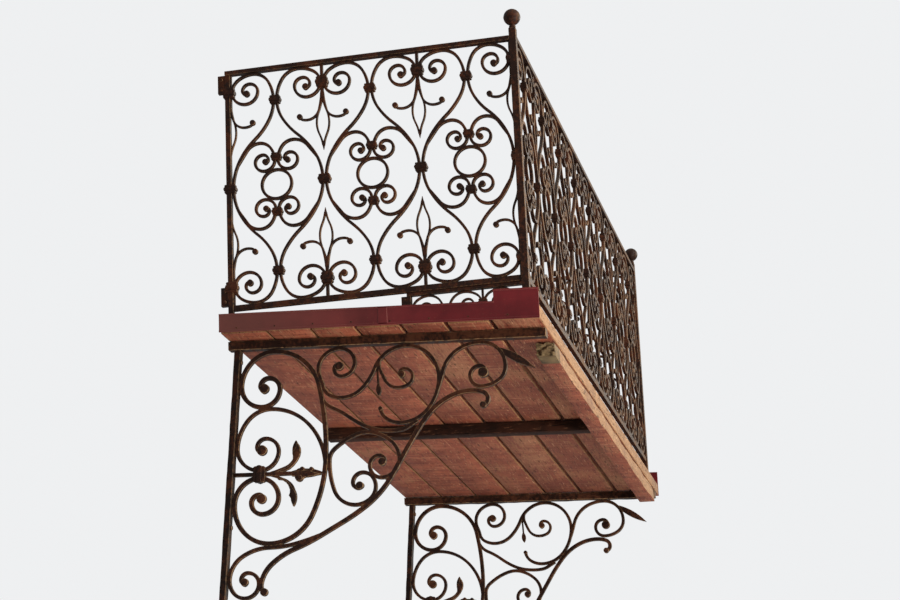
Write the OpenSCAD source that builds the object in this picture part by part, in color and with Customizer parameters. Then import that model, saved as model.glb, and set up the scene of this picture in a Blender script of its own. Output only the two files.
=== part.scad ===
// Wrought iron balcony with scroll railings on two scroll brackets.
// X runs along the wall, -Y points away from it and Z is up.
// The origin is the middle of the middle beam's end on the wall.

/* [Railing] */
// Width of one scroll cell between fleur axes
cell_w = 383; // [340:1:420]
// Number of scroll cells in each side railing
side_cells = 3; // [2:1:4]
// Number of scroll cells in the front railing
front_cells = 8; // [4:1:10]
// Clear height between bottom rail and top rail
infill_h = 952; // [880:1:1020]
// Height of the top rail bar
top_rail_h = 17; // [10:1:24]
// Width of the top rail bar
top_rail_w = 28; // [22:1:28]
// Height of the bottom rail bar
bottom_rail_h = 22; // [12:1:30]
// Width of the bottom rail bar
bottom_rail_w = 18; // [14:1:28]
// Gap between the deck and the bottom rail at the corner posts
rail_gap = 105; // [80:1:130]

/* [Posts] */
// Side of the square corner posts
corner_post = 28; // [28:1:40]
// Side of the square wall posts
wall_post = 20; // [18:1:30]
// Distance from the wall to the middle of a wall post
wall_post_out = 39; // [30:1:60]
// Height of a fixing lug between wall post and wall
lug_h = 75; // [40:1:90]
// Width of a fixing lug
lug_w = 18; // [12:1:18]
// How far a corner post rises above the top rail
post_rise = 30; // [15:1:60]
// Diameter of the ball on a corner post
ball_d = 66; // [50:1:80]
// Diameter of the neck below the ball
neck_d = 22; // [14:1:28]
// Height of the neck below the ball
neck_h = 18; // [10:1:30]

/* [Scroll bars] */
// Width of the railing's scroll bars, seen from the front
bar_w = 11; // [9:0.5:12]
// Depth of the railing's scroll bars
bar_d = 14; // [10:0.5:18]
// Width of the thin bars that make the fleurs
fleur_w = 8.5; // [6:0.5:9]
// Radius of the ring in the middle of a cell
ring_r = 59.5; // [56:0.5:62]
// Gap between two bars that stand back to back
back_gap = 2; // [1:0.5:3]
// Width of the largest collars
collar_w = 44; // [40:1:48]
// Depth of the collars
collar_d = 24; // [20:1:28]

/* [Deck] */
// How far the deck reaches out past the axes of the corner posts
deck_front = 52; // [40:1:80]
// How much lower the deck lies at its front edge than on the wall
deck_drop = 74; // [0:1:90]
// Thickness of the deck boards
deck_t = 60; // [35:1:70]
// Number of deck boards
boards = 9; // [7:1:12]
// Gap between two deck boards
board_gap = 7; // [3:0.5:12]
// How far the deck runs on past the post axes at each end
deck_past = 41; // [30:1:60]
// Height of the sheet metal trim on the deck ends
trim_h = 73; // [60:1:95]
// How far the trim stands above the deck
trim_up = 17; // [8:1:30]
// Thickness of the sheet metal
trim_t = 3; // [2:0.5:4]
// Length of the raised trim at the front corner
trim_cap_l = 172; // [100:1:250]
// How much higher the trim stands at the front corner
trim_cap_h = 46; // [15:1:55]

/* [Beams] */
// Width of the middle beam
middle_w = 70; // [50:1:90]
// Height of the middle beam
middle_h = 50; // [40:1:70]
// Depth of the front edge timber
edge_d = 78; // [60:1:100]
// Height of the front edge timber
edge_h = 60; // [40:1:80]
// Broken-off length of the edge timber at the left end
edge_lost = 307; // [200:1:400]

/* [Brackets] */
// Distance from a post axis in to the bracket's plane
bracket_in = 92; // [60:1:140]
// Width of the bracket's top bar
top_bar_w = 40; // [26:1:44]
// Height of the bracket's top bar
top_bar_h = 36; // [30:1:45]
// Distance from the wall to the back of the flat bar, just under the top bar
hang_out = 24; // [14:1:34]
// Thickness of the flat bar on the wall
wall_bar_t = 25; // [18:1:32]
// Width of the flat bar on the wall
wall_bar_w = 40; // [30:1:50]
// Height of the flat bar on the wall
wall_bar_h = 1010; // [1000:1:1100]
// How much farther back the flat bar's lower end lies than in a square bracket
wall_bar_back = 20; // [0:1:24]
// Width of the bracket's main bars, seen from the side
main_w = 17; // [14:0.5:18]
// Width of the bracket's lighter bars
light_w = 14; // [11:0.5:15]
// Depth of the bracket's bars
bracket_d = 16; // [12:0.5:20]

/* [Hidden] */

iron = "#33261f";
sheet = "#5a202b";
painted_wood = "#74453a";
worn_wood = "#a98057";

// Facets drawn on a full turn; the true surface is round
fine = 96;
// Every second stretch of a bar is this much narrower and laps into its neighbours
lap_step = 0.06;
lap = 0.6;
// Forge welds sink this far into each other
weld = 0.8;

post_axis_x = front_cells * cell_w / 2;
post_axis_y = wall_post_out + side_cells * cell_w;
deck_out = post_axis_y + deck_front;
// The deck, the beams and the brackets' top bars all fall outwards at this rate
fall = deck_drop / deck_out;
tilt = atan(fall);
deck_low = middle_h / 2;
deck_top = deck_low + deck_t;
board_pitch = (deck_out + board_gap) / boards;
bottom_rail_low = deck_top - fall * post_axis_y + rail_gap;
infill_low = bottom_rail_low + bottom_rail_h;
infill_mid = infill_low + infill_h / 2;
infill_top = infill_low + infill_h;
rail_top = infill_top + top_rail_h;
post_top = rail_top + post_rise;
deck_half = post_axis_x + deck_past;
bracket_x = post_axis_x - bracket_in;
bar_low = deck_low - top_bar_h;
back_off = (back_gap + bar_w) / 2;

// Flatter arcs are drawn with more facets to the turn
function facets(r) = fine * (1 + floor(r / 100));

// Plane geometry. A knot is [x, y, heading]. An arc is [x, y, heading, radius, sweep],
// its radius is negative for a right turn, and radius 0 means a straight of that length.
function ahead(h) = [cos(h), sin(h)];
function leftward(h) = [-sin(h), cos(h)];
function point(k) = [k[0], k[1]];
function turned(k, by) = [k[0], k[1], k[2] + by];
function reversed(k) = turned(k, 180);
function beside(k, by) = concat(point(k) + by * leftward(k[2]), [k[2]]);
function along(k, by) = concat(point(k) + by * ahead(k[2]), [k[2]]);
function centre(a) = point(a) + a[3] * leftward(a[2]);
function arc_end(a) =
    a[3] == 0
    ? concat(point(a) + a[4] * ahead(a[2]), [a[2]])
    : let (h = a[2] + sign(a[3]) * a[4])
      concat(centre(a) - a[3] * leftward(h), [h]);
function on_arc(a, share) = arc_end([a[0], a[1], a[2], a[3], a[4] * share]);
function arc_to(k, q) =
    let (
        v = q - point(k),
        across = v * leftward(k[2]),
        along = v * ahead(k[2])
    )
    abs(across) < 0.0005 * norm(v)
    ? [k[0], k[1], k[2], 0, norm(v)]
    : [k[0], k[1], k[2], (v * v) / (2 * across), abs(2 * atan2(across, along))];
// Two arcs that leave one knot and reach the next along its heading
function biarc(k, q) =
    let (
        v = point(q) - point(k),
        t1 = ahead(k[2]),
        t2 = ahead(q[2]),
        vt = v * (t1 + t2),
        e = 2 * (1 - t1 * t2),
        d = e < 0.0001 ? (v * v) / (2 * vt) : (sqrt(vt * vt + e * (v * v)) - vt) / e,
        first = arc_to(k, (point(k) + point(q) + d * (t1 - t2)) / 2)
    )
    [first, arc_to(arc_end(first), point(q))];
function chain(knots) = [for (i = [0:len(knots) - 2]) each biarc(knots[i], knots[i + 1])];
// Quarter turns of the given radii that wind in from a knot; side is 1 for left, -1 for right
function volute(k, radii, side, i = 0) =
    i == len(radii)
    ? []
    : let (a = [k[0], k[1], k[2], side * radii[i], 90])
      concat([a], volute(arc_end(a), radii, side, i + 1));
function last(list) = list[len(list) - 1];
function backwards(arcs) = [
    for (i = [len(arcs) - 1:-1:0])
        let (e = arc_end(arcs[i]))
        [e[0], e[1], e[2] + 180, -arcs[i][3], arcs[i][4]]
];

// Part of a ring, from the X axis on
module sector(outer, inner, sweep) {
    steps = 4;
    far = outer / cos(sweep / steps / 2) + 1;
    intersection() {
        difference() {
            circle(r = outer, $fn = facets(outer));
            circle(r = inner, $fn = facets(outer));
        }
        polygon(concat([[0, 0]], [for (i = [0:steps]) far * ahead(i * sweep / steps)]));
    }
}

// The outline of one stretch of bar
module stretch(a, w, reach) {
    if (a[3] == 0) {
        translate(point(a))
        rotate(a[2])
        translate([-reach, -w / 2])
        square([a[4] + 2 * reach, w]);
    } else {
        r = abs(a[3]);
        more = reach / r * 180 / PI;
        translate(centre(a))
        rotate(a[3] > 0 ? a[2] - 90 - more : a[2] + 90 - a[4] - more)
        sector(r + w / 2, r - w / 2, a[4] + 2 * more);
    }
}

// The outline of a bent bar along a list of arcs
module bar(arcs, w) {
    for (i = [0:len(arcs) - 1]) {
        odd = i % 2 == 1;
        stretch(arcs[i], odd ? w - lap_step : w, odd ? lap : 0);
    }
}

// The thick rolled end of a scroll
module curl(arcs, r) {
    translate(point(arc_end(last(arcs))))
    circle(r = r, $fn = 32);
}

// A scroll is a bar with a curl at its end
module scroll(arcs, w, r) {
    bar(arcs, w);
    curl(arcs, r);
}

// Gives an outline its depth, half on each side of the drawing plane
module deep(d) {
    translate([0, 0, -d / 2])
    linear_extrude(d)
    children();
}

// A collar of three bands; from is the x where it starts, for half collars on a post
module collar(w, h, d, from) {
    start = max(from, -w / 2);
    for (band = [[1, 0.4], [0.84, 1]]) {
        end = band[0] * w / 2;
        translate([max(from, -end), -band[1] * h / 2, -d * band[0] / 2])
        cube([end - max(from, -end), band[1] * h, d * band[0]]);
    }
}

// A pointed leaf along +X
module leaf(length, width) {
    r = (length * length / 4 + width * width / 4) / width;
    intersection() {
        translate([length / 2, width / 2 - r]) circle(r = r, $fn = fine);
        translate([length / 2, r - width / 2]) circle(r = r, $fn = fine);
    }
}

// A quarter of a cell, from its middle out to reach and up to the top rail
module cell_quarter(reach) {
    rail_touch = infill_h / 2 - bar_w / 2 + weld / 2;
    heart_h = 352;
    fleur_h = 402;
    heart = [back_off, heart_h, 90];
    fleur = [reach - back_off, fleur_h, -90];
    top = [reach / 2, rail_touch, 0];
    outer_arcs = chain([
        [reach - back_off, 0, 90],
        [0.46 * reach, 196, 138],
        heart,
        top,
        fleur
    ]);
    outer = concat(outer_arcs, volute(fleur, [55, 50, 34, 28, 17], -1));
    scroll(outer, bar_w, 9);

    // The inner scroll leaves the outer bar, runs over and winds in beside the ring
    first_r = 42;
    seat = ring_r + bar_w - weld + first_r;
    seat_h = sqrt(seat * seat - (back_off + first_r) * (back_off + first_r));
    inner_start = turned(on_arc(outer_arcs[0], 0.85), 12);
    inner_seat = [back_off, seat_h, -90];
    inner = concat(
        chain([inner_start, [68, 177, 180], inner_seat]),
        volute(inner_seat, [first_r, 37, 31, 22, 12], 1)
    );
    scroll(inner, bar_w, 8);
}

module both_ways_up() {
    for (s = [0, 1]) mirror([0, s]) children();
}

// Half of a whole cell, to the right of its axis
module cell_half(reach) {
    both_ways_up() cell_quarter(reach);
}

// The ring in the middle of a cell
module ring() {
    difference() {
        circle(r = ring_r + bar_w / 2, $fn = fine);
        circle(r = ring_r - bar_w / 2, $fn = fine);
    }
}

// The collars that bind a cell's bars on its axis
module cell_collars() {
    for (s = [-1, 1]) {
        translate([0, s * 352, 0]) collar(collar_w - 4, 32, collar_d, -collar_w);
        translate([0, s * 113, 0]) collar(collar_w - 8, 24, collar_d, -collar_w);
    }
}

// Keeps what lies beyond a post's face
module right_of(edge) {
    intersection() {
        children();
        translate([edge, -infill_h / 2])
        square([cell_w / 2, infill_h]);
    }
}

// The right half of a fleur; edge is 0 on a stem, or where a post's face is
module fleur_hook(edge) {
    axis = edge == 0 ? 0 : edge - fleur_w / 2;
    scroll(chain([[axis + 2.5, 362, -86], [axis + 62, 250, 0], [axis + 93, 266, 80]]), fleur_w, 10);
}

module fleur_blade(edge) {
    axis = edge == 0 ? 0 : edge - fleur_w / 2;
    bar(chain([[axis + 1, 340, -84], [axis + 25, 232, -90], [axis + 1.5, 138, -99]]), fleur_w - 1);
}

module fleur_point() {
    polygon([[-5, 141], [5, 141], [0, 118]]);
}

module fleur_stem(from) {
    translate([from, 336])
    square([bar_w / 2 + (from > 0 ? 0 : -from), infill_h / 2 - 336]);
}

module fleur_collars(edge) {
    from = edge == 0 ? -collar_w : edge;
    for (s = [-1, 1]) translate([0, s * 402, 0]) collar(collar_w + edge, 42, collar_d, from);
    collar(collar_w + edge, 34, collar_d, from);
}

// A panel in the XY plane from x = 0, start and end being half the widths of its posts
module scroll_panel(cells, start_half, end_half) {
    width = cells * cell_w;
    deep(bar_d) {
        for (i = [0:cells - 1]) translate([(i + 0.5) * cell_w, 0]) {
            ring();
            cell_half(i == cells - 1 ? cell_w / 2 - end_half : cell_w / 2);
            mirror([1, 0]) cell_half(i == 0 ? cell_w / 2 - start_half : cell_w / 2);
        }
        both_ways_up() {
            fleur_stem(start_half);
            translate([width, 0]) mirror([1, 0]) fleur_stem(end_half);
            for (i = [1:cells - 1]) translate([i * cell_w, 0]) fleur_stem(-bar_w / 2);
        }
    }
    deep(bar_d - 2) both_ways_up() {
        right_of(start_half) fleur_hook(start_half);
        translate([width, 0]) mirror([1, 0]) right_of(end_half) fleur_hook(end_half);
        for (i = [1:cells - 1], m = [0, 1]) translate([i * cell_w, 0]) mirror([m, 0]) fleur_hook(0);
    }
    deep(bar_d - 4) both_ways_up() {
        right_of(start_half) fleur_blade(start_half);
        translate([width, 0]) mirror([1, 0]) right_of(end_half) fleur_blade(end_half);
        for (i = [1:cells - 1]) translate([i * cell_w, 0]) {
            for (m = [0, 1]) mirror([m, 0]) fleur_blade(0);
            fleur_point();
        }
    }
    for (i = [0:cells - 1]) translate([(i + 0.5) * cell_w, 0, 0]) cell_collars();
    fleur_collars(start_half);
    translate([width, 0, 0]) mirror([1, 0, 0]) fleur_collars(end_half);
    for (i = [1:cells - 1]) translate([i * cell_w, 0, 0]) fleur_collars(0);
}

// Stands a drawing up so that its x runs from the wall outwards
module outwards(x) {
    translate([x, 0, 0])
    rotate([90, 0, -90])
    children();
}

// The height of a falling surface at some distance from the wall, from its height on the wall
function fallen(high, out) = high - fall * out;

// A length of some width along the wall whose underside and top both fall outwards
module falling(x, w, from, to, low, high) {
    outwards(x)
    deep(w)
    polygon([
        [from, fallen(low, from)],
        [to, fallen(low, to)],
        [to, fallen(high, to)],
        [from, fallen(high, from)]
    ]);
}

// A post on the falling deck, with its axis at some distance from the wall
module post(x, out, w, top) {
    outwards(x)
    deep(w)
    polygon([
        [out - w / 2, fallen(deck_top, out - w / 2)],
        [out + w / 2, fallen(deck_top, out + w / 2)],
        [out + w / 2, top],
        [out - w / 2, top]
    ]);
}

module side_panel(side) {
    color(iron)
    outwards(side * post_axis_x)
    translate([wall_post_out, infill_mid, 0])
    scroll_panel(side_cells, wall_post / 2, corner_post / 2);
}

module front_panel() {
    color(iron)
    translate([-post_axis_x, -post_axis_y, infill_mid])
    rotate([90, 0, 0])
    scroll_panel(front_cells, corner_post / 2, corner_post / 2);
}

module side_rail(side, low, w, h, past_post) {
    from = wall_post_out + (past_post ? -wall_post / 2 : wall_post / 2);
    to = post_axis_y - corner_post / 2;
    color(iron)
    translate([side * post_axis_x - w / 2, -to, low])
    cube([w, to - from, h]);
}

module front_rail(low, w, h) {
    clear = 2 * post_axis_x - corner_post;
    color(iron)
    translate([-clear / 2, -post_axis_y - w / 2, low])
    cube([clear, w, h]);
}

module wall_post_at(side) {
    color(iron) {
        post(side * post_axis_x, wall_post_out, wall_post, infill_top);
        for (low = [infill_low, infill_top - lug_h])
            translate([side * post_axis_x - lug_w / 2, -wall_post_out, low])
            cube([lug_w, wall_post_out, lug_h]);
    }
}

module corner_post_at(side) {
    color(iron)
    post(side * post_axis_x, post_axis_y, corner_post, post_top);
}

module ball_at(side) {
    r = ball_d / 2;
    color(iron)
    translate([side * post_axis_x, -post_axis_y, post_top]) {
        cylinder(d = neck_d, h = neck_h + r, $fn = fine);
        cylinder(d = corner_post, h = 4, $fn = fine);
        translate([0, 0, neck_h + r - 3])
        sphere(r = r, $fn = fine);
    }
}

module deck() {
    color(painted_wood)
    for (i = [0:boards - 1])
        falling(
            0, 2 * deck_half,
            i * board_pitch, (i + 1) * board_pitch - board_gap,
            deck_low, deck_top
        );
}

module edge_timber() {
    from = -deck_half + edge_lost;
    to = bracket_x - top_bar_w / 2;
    color(worn_wood)
    falling((from + to) / 2, to - from, deck_out - edge_d, deck_out, deck_low - edge_h, deck_low);
}

module middle_beam() {
    color(painted_wood)
    falling(0, middle_w, 0, deck_out - edge_d, -middle_h / 2, middle_h / 2);
}

module trim_at(side) {
    top = deck_top + trim_up;
    seat = deck_out - trim_cap_l;
    color(sheet)
    outwards(side * (deck_half + trim_t / 2))
    deep(trim_t)
    polygon([
        [0, top - trim_h],
        [deck_out, fallen(top - trim_h, deck_out)],
        [deck_out, fallen(top + trim_cap_h, deck_out)],
        [seat, fallen(top + trim_cap_h, seat)],
        [seat, fallen(top, seat)],
        [0, top]
    ]);
}

module bracket_top_bar_at(side) {
    color(iron)
    falling(side * bracket_x, top_bar_w, 0, deck_out, bar_low, deck_low);
}

// The bracket is drawn with x along the top bar's underside, from the upper end of the wall
// bar's back, and y up. Knots are written for a wall bar of the drawn height and grow with it.
drawn_h = 1010;
grown = wall_bar_h / drawn_h;
function hung(x, y, h) = [grown * x, grown * y, h];
// A knot of a bar of width w that lies against the wall bar, which leans back
lean = atan(wall_bar_back / wall_bar_h);
function by_wall(y, w, h) =
    [wall_bar_t + w / 2 - weld / 4 + wall_bar_back * y / drawn_h, grown * y, h - lean];
// A knot of a bar of width w that lies against the underside of the top bar
function under_top(x, w) = [grown * x, weld / 4 - w / 2, 0];

stem_h = -488;
stem = hung(116, stem_h, 0);
hug = main_w / 2 + light_w / 2 - weld;
pair = light_w - weld;
great_out = 374;
great_low = hung(167, -755, 180);
great_arcs = chain([
    by_wall(-138, main_w, 90),
    under_top(158, main_w),
    hung(great_out, -430, -90),
    great_low,
    by_wall(-600, main_w, 90),
    beside(stem, -hug)
]);
brace_top = hung(935, -193, 180);
brace_arcs = chain([
    hung(978, -250, 10),
    hung(996, -228, 90),
    brace_top,
    hung(849, -213, -154),
    hung(706, -375, -118),
    hung(531, -625, -143),
    hung(360, -731, -150),
    hung(178, -832, -137),
    hung(139, -905, -98),
    hung(152, -938, -30)
]);
wave_touch = beside(on_arc(great_arcs[3], 0.04), hug);
wave_crook = hung(664, -307, 180);
wave_arcs = chain([
    wave_touch,
    hung(430, -201, 0),
    hung(555, -92, 70),
    under_top(675, light_w),
    hung(806, -142, -90),
    wave_crook,
    hung(582, -250, 100)
]);
arch_arcs = chain([
    turned(on_arc(great_arcs[3], 0.14), 4),
    hung(463, -279, -36),
    hung(590, -334, -7),
    hung(660, -334, 8),
    hung(728, -300, 30)
]);

// Places an outline at a knot, turned along its heading
module at_knot(k) {
    translate(point(k))
    rotate(k[2])
    children();
}

// The flat bar on the wall, with its upper corner at the wall hammered off
module wall_bar() {
    corner = 6;
    deep(wall_bar_w)
    polygon([
        [corner, 0],
        [wall_bar_t, 0],
        [wall_bar_t - wall_bar_back, -wall_bar_h],
        [-wall_bar_back, -wall_bar_h],
        [-corner * wall_bar_back / wall_bar_h, -corner]
    ]);
}

module wall_scrolls() {
    top_curl = volute(reversed(great_arcs[0]), grown * [86, 68, 46, 32, 16], 1);
    great = concat(great_arcs, volute(arc_end(last(great_arcs)), grown * [78, 61, 45, 30, 16], -1));
    upper_seat = beside(stem, hug);
    upper = concat(
        chain([
            hung(great_out - 2, -448, 96),
            hung(150, -234, 180),
            by_wall(-382, light_w, -90),
            upper_seat
        ]),
        volute(upper_seat, grown * [72, 52, 34, 20, 8], 1)
    );
    // The stem runs from the wall bar to the heart of its flower
    heart = along(stem, grown * 160);
    root = along(stem, by_wall(stem_h, 0, 0)[0] - stem[0]);
    leaf_l = grown * 142;
    leaf_root = along(stem, grown * great_out - main_w / 2 + 2 - stem[0] - leaf_l);
    deep(bracket_d) {
        bar(concat(backwards(top_curl), great), main_w);
        curl(top_curl, 14);
        curl(great, 13);
        scroll(upper, light_w, 12);
        bar([concat(root, [0, norm(point(heart) - point(root))])], light_w);
        at_knot(heart) circle(r = 19, $fn = 32);
    }
    // The flower's leaves and the collar that binds it
    deep(bracket_d - 4) {
        at_knot(leaf_root) leaf(leaf_l, 34);
        for (s = [-1, 1]) {
            bar(chain([hung(160, stem_h + s * 4, s * 16), hung(254, stem_h + s * 66, s * 76)]), 9);
            at_knot(hung(253, stem_h + s * 56, s * 88)) leaf(72, 24);
        }
    }
    at_knot(stem) collar(44, 62, bracket_d + 8, -44);
}

module brace() {
    foot_seat = hung(78, -960, 0);
    foot = concat(
        chain([
            turned(on_arc(brace_arcs[11], 0.85), -9),
            beside(great_low, hug),
            by_wall(-888, light_w, -90),
            foot_seat
        ]),
        volute(foot_seat, grown * [52, 44, 26, 14], 1)
    );
    deep(bracket_d) {
        scroll(brace_arcs, main_w, 11);
        curl(backwards(brace_arcs), 11);
        scroll(foot, light_w, 12);
    }
}

module top_scrolls() {
    first_seat = under_top(416, light_w);
    first = concat(
        chain([reversed(wave_touch), hung(334, -84, 90), first_seat]),
        volute(first_seat, grown * [60, 50, 30, 18, 8], -1)
    );
    heart_seat = hung(704, -130, 90);
    heart = concat(
        chain([
            turned(reversed(on_arc(wave_arcs[4], 0.5)), 22),
            hung(596, -138, -62),
            hung(645, -170, -3),
            heart_seat
        ]),
        volute(heart_seat, grown * [33, 18, 8], 1)
    );
    tip_seat = along(beside(brace_top, -hug), -35);
    tip = concat(
        chain([
            turned(reversed(on_arc(wave_arcs[8], 0.35)), -6),
            hung(854, -51, 46),
            under_top(965, light_w),
            hung(1061, -106, -90),
            tip_seat
        ]),
        volute(tip_seat, grown * [44, 36, 24, 10], -1)
    );
    deep(bracket_d) {
        bar(concat(backwards(first), wave_arcs), light_w);
        curl(first, 12);
        curl(wave_arcs, 8);
        scroll(heart, light_w - 2, 11);
        scroll(tip, light_w, 12);
    }
    // A bud that hangs in the wave's crook and a leaf at the tip
    bud = hung(563, -80, -84);
    deep(bracket_d - 6) bar([concat(bud, [0, 82])], 7);
    deep(bracket_d - 4) {
        at_knot(along(bud, 70)) leaf(52, 20);
        at_knot(hung(1020, -26, -30)) leaf(178, 28);
    }
}

module middle_scrolls() {
    side_touch = beside(hung(great_out, -440, 90), -hug);
    under_arch = beside(on_arc(arch_arcs[3], 0.6), -pair);
    right_seat = hung(594, -515, 180);
    right = concat(
        chain([side_touch, hung(446, -369, 33), under_arch, hung(660, -448, -90), right_seat]),
        volute(right_seat, grown * [48, 37, 20, 9], -1)
    );
    left_seat = hung(520, -493, 180);
    left = concat(
        chain([reversed(side_touch), hung(495, -616, 0), hung(571, -550, 90), left_seat]),
        volute(left_seat, grown * [38, 22, 10], 1)
    );
    deep(bracket_d) {
        bar(arch_arcs, light_w);
        bar(concat(backwards(left), right), light_w);
        curl(left, 12);
        curl(right, 12);
    }
}

// The whole bracket has sagged with its top bar and turned as one piece
module on_bracket(side) {
    color(iron)
    outwards(side * bracket_x)
    translate([hang_out, fallen(bar_low, hang_out), 0])
    rotate(-tilt)
    children();
}

deck();
edge_timber();
middle_beam();
trim_at(-1);  // trim_left
trim_at(1);  // trim_right
wall_post_at(-1);  // wall_post_left
wall_post_at(1);  // wall_post_right
corner_post_at(-1);  // corner_post_left
corner_post_at(1);  // corner_post_right
ball_at(-1);  // ball_left
ball_at(1);  // ball_right
side_rail(-1, infill_top, top_rail_w, top_rail_h, true);  // top_rail_left
side_rail(1, infill_top, top_rail_w, top_rail_h, true);  // top_rail_right
front_rail(infill_top, top_rail_w, top_rail_h);  // top_rail_front
side_rail(-1, bottom_rail_low, bottom_rail_w, bottom_rail_h, false);  // bottom_rail_left
side_rail(1, bottom_rail_low, bottom_rail_w, bottom_rail_h, false);  // bottom_rail_right
front_rail(bottom_rail_low, bottom_rail_w, bottom_rail_h);  // bottom_rail_front
side_panel(-1);  // scroll_panel_left
side_panel(1);  // scroll_panel_right
front_panel();  // scroll_panel_front
bracket_top_bar_at(-1);  // bracket_top_bar_left
bracket_top_bar_at(1);  // bracket_top_bar_right
on_bracket(-1) wall_bar();  // bracket_wall_bar_left
on_bracket(1) wall_bar();  // bracket_wall_bar_right
on_bracket(-1) wall_scrolls();  // bracket_wall_scrolls_left
on_bracket(1) wall_scrolls();  // bracket_wall_scrolls_right
on_bracket(-1) brace();  // bracket_brace_left
on_bracket(1) brace();  // bracket_brace_right
on_bracket(-1) top_scrolls();  // bracket_top_scrolls_left
on_bracket(1) top_scrolls();  // bracket_top_scrolls_right
on_bracket(-1) middle_scrolls();  // bracket_middle_scrolls_left
on_bracket(1) middle_scrolls();  // bracket_middle_scrolls_right
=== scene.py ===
# %% [markdown]
# # A wrought iron balcony
# The balcony has scroll railings round a deck of boards, and stands on two scrolled brackets.
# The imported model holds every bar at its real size. This lesson gives those bars rounded edges
# and a finish, and lays the separate boards, sheet metal, collars and nails on them.

import math
import random

import bmesh
import bpy
from mathutils import Matrix, Vector


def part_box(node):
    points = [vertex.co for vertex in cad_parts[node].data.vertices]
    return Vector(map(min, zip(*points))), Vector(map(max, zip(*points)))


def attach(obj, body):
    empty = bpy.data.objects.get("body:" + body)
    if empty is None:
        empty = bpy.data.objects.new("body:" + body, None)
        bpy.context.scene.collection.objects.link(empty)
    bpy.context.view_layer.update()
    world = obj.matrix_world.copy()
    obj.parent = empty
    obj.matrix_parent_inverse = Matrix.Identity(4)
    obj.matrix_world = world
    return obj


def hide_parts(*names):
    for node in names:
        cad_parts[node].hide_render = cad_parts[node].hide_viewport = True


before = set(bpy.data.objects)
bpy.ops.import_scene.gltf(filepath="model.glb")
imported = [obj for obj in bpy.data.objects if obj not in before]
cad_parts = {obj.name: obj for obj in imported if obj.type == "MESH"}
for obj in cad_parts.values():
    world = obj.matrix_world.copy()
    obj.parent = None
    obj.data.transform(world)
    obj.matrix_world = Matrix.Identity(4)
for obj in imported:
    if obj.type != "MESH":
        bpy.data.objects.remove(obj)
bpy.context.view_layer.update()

# %% [markdown]
# ## Where the viewer stands
# The camera stands some nine metres beyond the deck's left end and almost three metres under
# it, and looks up through a long lens. It is turned by its three axes: forward, right and up.
# It leans a little to one side, which is the roll.

# %% Camera
CAMERA_PLACE = Vector((-10.264, -2.729, -2.719))
HEADING = math.radians(11.863)
PITCH = math.radians(17.378)
ROLL = math.radians(-2.518)
LENS_MM = 99.53
SENSOR_MM = 36
SEES_TO = 200


def aim(place, heading, pitch, roll):
    """The matrix of a camera at a place, from its heading, pitch and roll."""
    forward = Vector((
        math.cos(pitch) * math.cos(heading),
        math.cos(pitch) * math.sin(heading),
        math.sin(pitch),
    ))
    level = Vector((math.sin(heading), -math.cos(heading), 0))
    level_up = level.cross(forward)
    right = math.cos(roll) * level + math.sin(roll) * level_up
    up = right.cross(forward)
    turn = Matrix((right, up, -forward)).transposed().to_4x4()
    return Matrix.Translation(place) @ turn


camera_data = bpy.data.cameras.new("camera")
camera_data.lens = LENS_MM
camera_data.sensor_width = SENSOR_MM
camera_data.clip_end = SEES_TO
camera = bpy.data.objects.new("camera", camera_data)
camera.matrix_world = aim(CAMERA_PLACE, HEADING, PITCH, ROLL)
bpy.context.scene.collection.objects.link(camera)
bpy.context.scene.camera = camera
print("camera stands at", [round(v, 2) for v in camera.location])

# %% [markdown]
# ## Soft studio light
# A wide lamp high in front of the railing lights the edges that face outwards and leaves the
# ends in a soft shade, which tells the thin bars from their dark sides. A low lamp does the same
# for the underside of the deck and the brackets, a third one comes from the far side, and the
# sky fills the rest. The sky is whiter where the camera, a gloss or a transparency looks at it
# than where it lights the iron, so the backdrop costs no light.

# %% Lamps, sky and floor
FLOOR_DROP = 4.1
FLOOR_SIZE = 60
WARM, WARMER, COOL = (1.0, 0.93, 0.84), (1.0, 0.94, 0.86), (0.9, 0.95, 1.0)
SKY_LIGHT, SKY_LOOK = (0.93, 0.96, 1.0, 1), (0.86, 0.87, 0.88, 1)
SKY_LIGHT_STRENGTH, SKY_LOOK_STRENGTH = 0.52, 1.0
bpy.context.scene.view_settings.view_transform = "Standard"


def lamp(name, place, target, size, watts, tint):
    """A round lamp at a place, turned towards its target."""
    data = bpy.data.lights.new(name, "AREA")
    data.shape = "DISK"
    data.size = size
    data.energy = watts
    data.color = tint
    thing = bpy.data.objects.new(name, data)
    thing.location = place
    thing.rotation_euler = (Vector(target) - Vector(place)).to_track_quat("-Z", "Y").to_euler()
    bpy.context.scene.collection.objects.link(thing)


lamp("key_lamp", (-2.6, -9.0, 5.0), (0, -0.6, 0.3), 2.0, 860, WARMER)
lamp("low_lamp", (-4.2, -7.4, -1.9), (0, -0.6, -0.2), 1.2, 720, WARM)
lamp("rim_lamp", (6.0, -7.0, 3.0), (0.5, -0.8, 0.3), 2.5, 250, COOL)

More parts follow.
